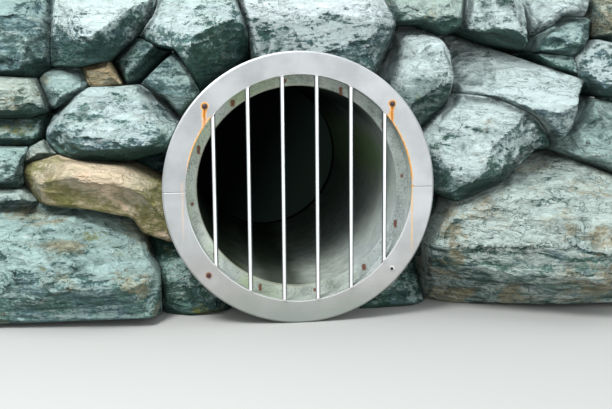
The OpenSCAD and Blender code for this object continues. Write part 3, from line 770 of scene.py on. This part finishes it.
def concrete_finish():
    f = Finish("weathered_concrete")
    x, y, h, r = from_axis(f)
    step_y, far_y = face_y + plate + mouth_depth, pipe_high.y
    cloud = f.noise(f.place, 4.0, 5, 0.6, 0.5)
    blotch = f.noise(f.place, 16, 6, 0.68)
    sand = f.noise(f.place, 120, 4, 0.8)
    pores = f.node("ShaderNodeTexVoronoi", {"Vector": f.place, "Scale": 85.0}, "Distance")
    pits = f.step(pores, 0.24, 0.10) * f.step(blotch, 0.5, 0.65)
    f.colour = f.mix(f.step(blotch, 0.32, 0.68), (0.27, 0.30, 0.295), (0.43, 0.46, 0.455))
    f.lay(f.step(sand, 0.52, 0.72) * 0.55, (0.56, 0.58, 0.56))
    f.lay(pits * 0.8, (0.07, 0.08, 0.075))

    f.lay(f.step(x, 0.15, 0.42) * 0.35, (0.43, 0.49, 0.50))
    green = f.step(cloud + blotch * 0.35, 0.54, 0.74) * f.step(x, 0.10, -0.30, 0.25, 1.0)
    f.lay(green * 0.70, (0.26, 0.34, 0.17))
    bore = f.step(r, bore_r + 0.006, bore_r + 0.002)
    # Painted light: the left part of the step, in the ring's shade, is painted lighter.
    f.lay((1 - bore) * f.step(x, -0.25, -0.40) * 0.45, (0.54, 0.60, 0.53))
    f.lay((1 - bore) * f.step(sand + (blotch - 0.5) * 0.5, 0.50, 0.38) * 0.55, (0.15, 0.17, 0.14))
    # Deeper in, the wall is laid darker green: partly slime, partly painted shade.
    inward = f.step(y, step_y - 0.02, step_y + 1.5)
    # Painted light: a lighter green band on the right wall, near the mouth.
    band = f.step(abs(h - 0.16 + cloud * 0.10), 0.20, 0.03) * f.step(x, 0.15, 0.38)
    band = band * f.step(y, step_y, step_y + 0.5)
    # Painted shade: the upper left of the bore is painted near black.
    damp = bore * f.step(x * 0.9 - h * 0.75 + cloud * 0.3, 0.52, 0.10)
    slime_and_depth_shade = f.mix(f.step(sand + blotch * 0.4, 0.60, 0.82), (0.040, 0.070, 0.048), (0.120, 0.165, 0.125))
    f.lay(bore * inward * 0.80, slime_and_depth_shade)
    f.lay(bore * band * 0.9, (0.190, 0.300, 0.140))
    f.lay(damp * (1 - band * 0.55) * 0.96, (0.006, 0.010, 0.007))
    wet = bore * f.step(abs(x + 0.02 + cloud * 0.1), 0.17, 0.05) * f.step(h, -0.2, -0.3)
    f.lay(wet * 0.85, (0.020, 0.032, 0.018))
    joint = bore * f.step(y, far_y - 0.10, far_y - 0.07)
    f.lay(joint * 0.95, (0.003, 0.005, 0.004))
    lip = f.step(abs(r - bore_r - 0.004 + sand * 0.006), 0.010, 0.002) * f.step(abs(y - step_y), 0.03, 0.01)
    f.lay(lip * f.step(x, 0.2, 0.0) * 0.6, (0.42, 0.44, 0.36))

    spots, askew_x, askew_h = [], x + (blotch - 0.5) * 0.02, h + (sand - 0.5) * 0.01
    for number in range(wires):
        turn, reach = radians(first_wire + wire_spacing * number), mouth_r - wire_cover
        across, high = reach * cos(turn), reach * sin(turn)
        size, drop = 0.007 + 0.002 * (number * 5 % 3), 0.014 + 0.012 * (number * 7 % 3)
        spots += [round_spot(f, askew_x, askew_h, (across, high), size * 0.5, size * 1.3),
                  run_of_rust(f, x, h, across, high, high - drop, size * 1.2)]
    rust = f.mix(f.step(sand, 0.4, 0.6), (0.19, 0.055, 0.02), (0.09, 0.035, 0.02))
    f.lay(any_of(spots) * f.step(abs(y - step_y), 0.008, 0.003) * 0.9, rust)

    relief = blotch * 0.5 + sand * 0.35 - pits * 0.8 + cloud * 0.2
    return f.give(Base_Color=f.colour, Roughness=0.94 - green * 0.1, Specular_IOR_Level=0.02,
                  Normal=f.bump(relief, 0.008, 0.8))

dress("pipe_barrel", concrete_finish())
print("concrete dressed")

# %% [markdown]
# ## The dark beyond
# The far end of the pipe lies in the bank, where no light comes from. A disc closes it in this scene: it is
# painted shade, near black, and painted light makes it lighter towards its lower right. It is stage, like the
# floor, and isn't part of the object.

# %% Close the far end
quarter_turn = (radians(90), 0, 0)
bpy.ops.object.select_all(action="DESELECT")
bpy.ops.mesh.primitive_circle_add(vertices=96, radius=bore_r + 0.004, fill_type="NGON",
                                  location=(0, pipe_high.y - 0.012, axis.z), rotation=quarter_turn)
dark = settled("dark_beyond")
f = Finish("dark_beyond")
x, _, h, _ = from_axis(f)
# Painted shade: the far end is near black, and painted light makes it lighter towards the lower right.
far_shade_and_light = f.mix(f.step(x * 0.9 - h * 0.5, -0.10, 0.45), (0.003, 0.005, 0.004), (0.045, 0.075, 0.060))
dark.data.materials.append(f.give(Base_Color=far_shade_and_light, Roughness=0.95, Specular_IOR_Level=0.1))
print("far end at", round(pipe_high.y, 3))

# %% [markdown]
# ## Four anchor bolts, none alike
# Each bolt goes through the plate into the concrete. The upper two have swollen, rusty heads. The lower
# left one is a small nut on a stud, and the lower right one still has its bright washer. A hexagon is a
# cylinder with six sides. Bevel rounds its edges, and insets of the front face make the crown.

# %% Make one part of a bolt
def turned_part(sides, radius, front, back, round_by, finish, rise=0):
    """A round or six-sided part about the pipe's direction, from one depth to another."""
    bpy.ops.object.select_all(action="DESELECT")
    bpy.ops.mesh.primitive_cylinder_add(vertices=sides, radius=radius, depth=back - front,
                                        location=(0, (front + back) / 2, 0), rotation=quarter_turn)
    part = settled("bolt_part")
    if round_by:
        applied(part, "BEVEL", width=round_by, segments=3, limit_method="ANGLE")
    if rise:
        crown(part, rise)
    part.data.materials.append(finish)
    return part

def crown(part, rise):
    """Draws the front face together and forwards, three times, into a low dome."""
    with edited(part):
        bpy.ops.mesh.select_all(action="DESELECT")
    min(part.data.polygons, key=lambda face: face.center.y).select = True
    bpy.ops.object.mode_set(mode="EDIT")
    for share in (0.72, 0.55, 0.4):
        bpy.ops.mesh.inset(thickness=0.0018, depth=rise * share)
    bpy.ops.object.mode_set(mode="OBJECT")

def iron(name, deep, light, dull=0.75):
    f = Finish(name)
    flake = f.noise(f.place, 240, 5, 0.75)
    rough = f.noise(f.place, 700, 3, 0.7)
    colour = f.mix(f.step(flake, 0.38, 0.64), deep, light)
    return f.give(Base_Color=colour, Metallic=0.1, Roughness=dull + rough * 0.2,
                  Normal=f.bump(flake + rough * 0.4, 0.0012, 0.9))

old_iron = iron("old_rust", (0.016, 0.009, 0.016), (0.055, 0.022, 0.022), 0.30)
thin_rust = iron("thin_rust", (0.10, 0.055, 0.035), (0.30, 0.17, 0.11))
f = Finish("bright_washer")
wear_marks = f.noise(f.place, 300, 4, 0.7)
bright = f.give(Base_Color=f.mix(wear_marks, (0.50, 0.51, 0.51), (0.82, 0.83, 0.84)), Metallic=0.9,
                Roughness=0.25 + wear_marks * 0.25)
print("bolt finishes:", old_iron.name, thin_rust.name, bright.name)

# %% [markdown]
# A bolt is a list of parts. Each has its sides, radius, front, back, rounding and finish, and a head has
# the rise of its crown as well. Fronts and backs are measured from the plate's face into the pipe.

# %% Set the bolts
shank_end = 0.089
swollen = [(24, 0.0079, 0.0, shank_end, 0, old_iron), (32, 0.0128, -0.0016, 0.0, 0.0006, thin_rust),
           (6, 0.0118, -0.0072, -0.0014, 0.0024, old_iron, 0.0016)]
stud = [(24, 0.0058, -0.0085, shank_end, 0.0012, old_iron), (32, 0.0128, -0.0014, 0.0, 0.0005, thin_rust),
        (6, 0.0096, -0.0060, -0.0012, 0.0011, old_iron)]
stump = [(24, 0.0074, -0.0056, shank_end, 0.0012, old_iron), (40, 0.0132, -0.0030, 0.0, 0.0012, bright)]
bolts = {"anchor_bolt_upper_left": ((-1, 1), swollen), "anchor_bolt_upper_right": ((1, 1), swollen),
         "anchor_bolt_lower_left": ((-1, -1), stud), "anchor_bolt_lower_right": ((1, -1), stump)}
for name, (corner, bolt_parts) in bolts.items():
    bolt = joined([turned_part(*part) for part in bolt_parts], name)
    bolt.data.transform(Matrix.Translation((corner[0] * bolt_x, face_y, axis.z + corner[1] * bolt_h)))
    bpy.ops.object.shade_smooth_by_angle(angle=radians(40))
    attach(bolt, "root")
    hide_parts("anchor_bolts")
print("bolts set:", list(bolts))

# %% [markdown]
# ## Weld beads
# Each bar is cut to the curve of the plate's inner edge and welded there. The bead is a small uneven
# ring. Near the side of the mouth the bar meets the edge at a slant, so the cut and its bead are longer.

# %% Lay a bead at both ends of each bar
def weld_bead(x, side, radius):
    """One bead, at the upper (1) or lower (-1) end of the bar at x."""
    h = side * sqrt(mouth_r ** 2 - x ** 2)
    out = Vector((x, 0, h)).normalized()
    bpy.ops.object.select_all(action="DESELECT")
    bpy.ops.mesh.primitive_torus_add(major_segments=28, minor_segments=8,
                                     major_radius=radius, minor_radius=0.0026)
    bead = bpy.context.object
    applied(bead, "DISPLACE", texture=grit, texture_coords="LOCAL", mid_level=0.4, strength=0.0024)
    slant = 1 / max(0.45, abs(out.z))
    turn = out.to_track_quat("Z", "Y").to_matrix().to_4x4()
    across = Matrix.Scale(slant, 4, turn.to_3x3().inverted() @ Vector((-out.z, 0, out.x)))
    spot = Matrix.Translation(Vector((x, face_y + plate / 2, axis.z + h)) - out * 0.002)
    bead.data.transform(spot @ turn @ across)
    return bead

beads = []
for node in bars:
    low, high = [Vector(corner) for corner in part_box(node)]
    for side in (-1, 1):
        beads.append(weld_bead((low.x + high.x) / 2, side, (high.x - low.x) / 2))
welds = joined(beads, "weld_beads")
f = Finish("weld_metal")
tint = f.mix(f.noise(f.place, 60, 3), (0.28, 0.26, 0.24), (0.55, 0.55, 0.55))
welds.data.materials.append(f.give(Base_Color=tint, Metallic=0.7, Roughness=0.5))
bpy.ops.object.shade_smooth()
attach(welds, "root")
print("beads:", len(beads), "triangles:", triangles(welds))

# %% [markdown]
# ## Dress every stone
# The table gives each stone its colours, the share of pale crust, the lie of its bedding in degrees, and
# what grows on it or stains it, with how dark its undersides and foot are, partly wet film and partly painted
# shade. The last entry may also change the roughness of the carving, its ledges and the number of cuts. A
# wall
# gets its look from such differences: a white cap beside a dark slate.

# %% The stones one by one
TAN, BEIGE, DARK = (0.860, 0.640, 0.460), (0.370, 0.380, 0.290), (0.055, 0.105, 0.085)
looks = {
    # node: (fresh, other, crust, share, tilt, turn, extras)
    "crown_stone": (BLUE, GREY, SNOWY, 0.95, 25, 10, {"tide": (1.37, 0.45)}),
    "white_stone": (BLUE, GREEN, BRIGHT, 0.50, 15, -20, {"tide": (1.20, 0.85), "fair": 0.03}),
    "ledge_stone": (BLUE, GREEN, BRIGHT, 0.80, 30, 25, {"tide": (1.27, 0.95), "fair": 0.03}),
    "left_top_stone": (BLUE, GREY, CRUST, 0.30, 60, 15, {"moss": 0.3}),
    "shadow_stone": (GREEN, GREY, CRUST, 0.10, 35, 0, {"veins": 0.1}),
    "slate_stone": (GREY, BLUE, CRUST, 0.25, 40, 30, {"veins": 0.1, "rough": 0.5, "damp": 0.4}),
    "pyramid_stone": (GREEN, BLUE, BRIGHT, 0.36, 20, -15, {"moss": 0.15, "layers": 0.5, "fair": 0.05}),
    "wedge_stone": (BLUE, GREEN, CRUST, 0.80, 45, 20, {"tan": 0.2, "damp": 0.2, "fair": 0.06}),
    "beige_stone": (BEIGE, GREY, PALE, 0.45, 12, 0, {"tan": 0.35, "veins": 0.8}),
    "green_slab": (DARK, GREEN, CRUST, 0.15, 10, 0, {"moss": 0.5}),
    "left_side_stone": (GREEN, GREY, CRUST, 0.60, 18, 0, {"damp": 0.6}),
    "ochre_stone": (TAN, BEIGE, (0.56, 0.48, 0.34), 0.50, 8, -10, {
        "moss": 1.0, "bare": (-0.86, 0.69, 0.22), "tan": 0.3, "veins": 0.2, "fair": 0.12, "damp": 0.1,
        "layers": 0.15, "film": (0.17, 0.15, 0.06)}),
    "thin_slab": (GREY, BLUE, PALE, 0.70, 5, 0, {"damp": 0.5}),
    "left_foot_stone": (BLUE, GREEN, CRUST, 0.68, 15, 5, {
        "tan": 0.45, "moss": 0.3, "cuts": 22, "ledges": 1.3, "layers": 0.7, "damp": 0.2, "fair": 0.05}),
    "left_chock": (DARK, GREEN, CRUST, 0.10, 25, 0, {"moss": 0.5}),
    "lichen_stone": (GREY, GREEN, PALE, 0.75, 20, 12, {"fair": 0.04, "tan": 0.25}),
    "shoulder_stone": (GREEN, GREY, BRIGHT, 1.00, 50, -25, {"moss": 0.2, "tide": (1.06, 0.75), "fair": 0.10}),
    "long_stone": (GREY, BLUE, BRIGHT, 0.85, 14, -30, {"ledges": 1.3, "damp": 0.15, "fair": 0.09}),
    "peak_stone": (GREEN, GREY, BRIGHT, 0.75, 40, 15, {"moss": 0.15, "fair": 0.04}),
    "upper_right_stone": (BLUE, GREY, BRIGHT, 1.00, 20, 0, {"damp": 0.2, "fair": 0.14}),
    "bank_stone": (GREEN, BLUE, CRUST, 0.60, 30, 10, {"fair": 0.05, "damp": 0.6}),
    "brown_stone": ((0.40, 0.33, 0.22), GREY, PALE, 0.30, 20, 0, {"tan": 0.6}),
    "edge_stone": (BLUE, GREY, BRIGHT, 0.60, 70, 0, {"cuts": 4}),
    "veined_stone": (BLUE, GREY, CRUST, 0.85, 55, 20, {"veins": 1.0, "damp": 0.2, "fair": 0.22, "cuts": 6}),
    "round_stone": (GREEN, GREY, BRIGHT, 0.80, 25, -10, {"tan": 0.1, "tide": (0.66, 0.75), "fair": 0.05}),
    "right_foot_stone": (GREEN, GREY, (0.52, 0.61, 0.57), 0.80, 22, -18, {
        "tan": 0.5, "moss": 0.1, "ledges": 1.5, "layers": 0.9, "cuts": 26, "damp": 0.0, "fair": 0.07}),
    "haunch_stone": (DARK, GREEN, CRUST, 0.10, 20, 0, {"moss": 0.3}),
    "right_chock": (DARK, GREEN, CRUST, 0.12, 20, 0, {"moss": 0.4}),
    "left_back_foot": (BLUE, GREY, CRUST, 0.50, 15, 0, {"tan": 0.3}),
    "left_back_stone": (GREEN, GREY, CRUST, 0.50, 20, 0, {}),
    "left_back_chock": (GREEN, BLUE, CRUST, 0.35, 30, 0, {"moss": 0.2}),
    "right_back_foot": (GREEN, GREY, CRUST, 0.50, 12, 0, {"tan": 0.3}),
    "right_back_stone": (BLUE, GREEN, CRUST, 0.45, 25, 0, {}),
    "right_back_chock": (GREY, GREEN, CRUST, 0.35, 18, 0, {"moss": 0.2}),
}
usual_shape = {"rough": 1.0, "ledges": 1.0, "cuts": 18}
front_grain, back_grain = 0.019, 0.026  # size of the remeshed faces

stones = []
for seed, (node, (*colours, tilt, turn, extras)) in enumerate(looks.items(), 1):
    shape = {key: extras.pop(key, usual) for key, usual in usual_shape.items()}
    lie = (radians(tilt), radians(turn))
    finish = stone_finish(node + "_finish", *colours, seed, tilt=lie, **extras)
    stone = broken_stone(node, finish, seed=seed, tilt=tilt, turn=turn,
                         grain=back_grain if "back" in node else front_grain, **shape)
    stones.append(stone)
print("stones:", len(stones), "triangles:", sum(triangles(stone) for stone in stones))

# %% [markdown]
# ## The small stones in the chinks
# One node holds three small stones, wedged where the big ones leave a gap. Each is a loose part of the
# same mesh, so the copy is separated by loose parts, and each part gets its own finish.

# %% Part the chink stones
chinks = copy_of("chink_stones", "chinks")
with edited(chinks):
    bpy.ops.mesh.separate(type="LOOSE")
parted = sorted(bpy.context.selected_objects, key=lambda piece: sum(corner[0] for corner in piece.bound_box))
chink_looks = [
    ("chink_pale", (GREY, BEIGE, PALE, 0.5), {"tan": 0.4, "damp": 0.6}, "pale_stone"),
    ("chink_tan", (TAN, BEIGE, (0.80, 0.58, 0.36), 0.5),
     {"tan": 0.7, "damp": 0.2, "fair": 0.10, "film": (0.10, 0.07, 0.03)}, "ochre_stone"),
    ("chink_green", (GREEN, BLUE, CRUST, 0.4), {}, "greenstone"),
]
for seed, piece, (name, colours, extras, slot) in zip((61, 62, 63), parted, chink_looks):
    piece.name = name
    finish = stone_finish(name + "_finish", *colours, seed, **extras)
    shaped(piece, "chink_stones", finish, seed, tilt=20, turn=0, grain=0.010, rough=0.45, ledges=0.6, cuts=8)
    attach(piece, "root")
    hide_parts("chink_stones")
print("chink stones:", [piece.name for piece in parted])

# %% [markdown]
# ## Packing in two open joints
# Whoever stacks such a wall pushes small stones into the joints that stay open. Two are needed at the
# right-hand end. Each is a ball that is flattened, cut and carved.

# %% Pack the joints
half_size = (0.056, 0.11, 0.036)
packs = (("packing_upper", (1.632, -0.262, 1.252), 71), ("packing_lower", (1.632, -0.297, 0.953), 72))
for name, middle, seed in packs:
    bpy.ops.object.select_all(action="DESELECT")
    bpy.ops.mesh.primitive_ico_sphere_add(subdivisions=4, radius=1)
    pack = settled(name)
    pack.data.transform(Matrix.Translation(middle) @ Matrix.Diagonal((*half_size, 1)))
    knock_off_corners(pack, random.Random(seed), slight=0.012, facets=5)
    applied(pack, "REMESH", mode="VOXEL", voxel_size=0.006, use_smooth_shade=True)
    applied(pack, "DISPLACE", texture=grit, texture_coords="LOCAL", mid_level=0.0, strength=-0.006)
    pack.data.materials.append(stone_finish(name + "_finish", GREEN, BLUE, CRUST, 0.3, seed))
    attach(pack, "root")
print("packing stones:", len(packs))
